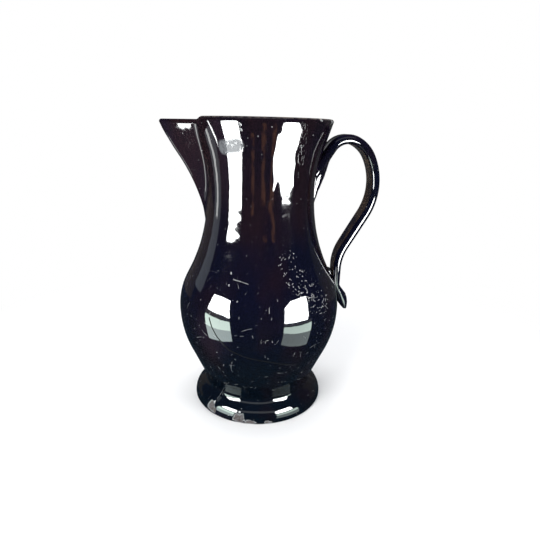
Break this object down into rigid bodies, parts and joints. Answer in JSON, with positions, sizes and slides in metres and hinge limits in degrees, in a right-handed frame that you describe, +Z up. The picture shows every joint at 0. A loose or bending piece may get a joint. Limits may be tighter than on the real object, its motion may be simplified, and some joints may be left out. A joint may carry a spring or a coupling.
{
  "type": "jug",
  "caption": "Black-glazed pottery jug with a baluster body, beak spout, strap handle with a turned-out tail, and a spreading foot.",
  "frame": {"origin": "on the jug's axis at the plane that the foot's rim stands on", "axes": "+Z up along the axis, +X towards the handle, -X towards the spout"},
  "size_m": [0.1481, 0.1142, 0.2],
  "materials": {
    "body_glaze": "glossy black-brown lead glaze, pitted and scratched",
    "foot_glaze": "glossy black lead glaze, worn through to clay at the rim's chips",
    "spout_glaze": "glossy black-brown lead glaze",
    "handle_glaze": "glossy black-brown lead glaze",
    "joint_glaze": "glossy black-brown lead glaze, pooled in the corners"
  },
  "bodies": {
    "root": {"thrown_body": "body_glaze", "spreading_foot": "foot_glaze", "foot_slip": "joint_glaze", "spout": "spout_glaze", "spout_seam_near": "joint_glaze", "spout_seam_far": "joint_glaze", "handle_strap": "handle_glaze", "upper_handle_wad": "handle_glaze", "lower_handle_wad": "handle_glaze"}
  },
  "joints": []
}
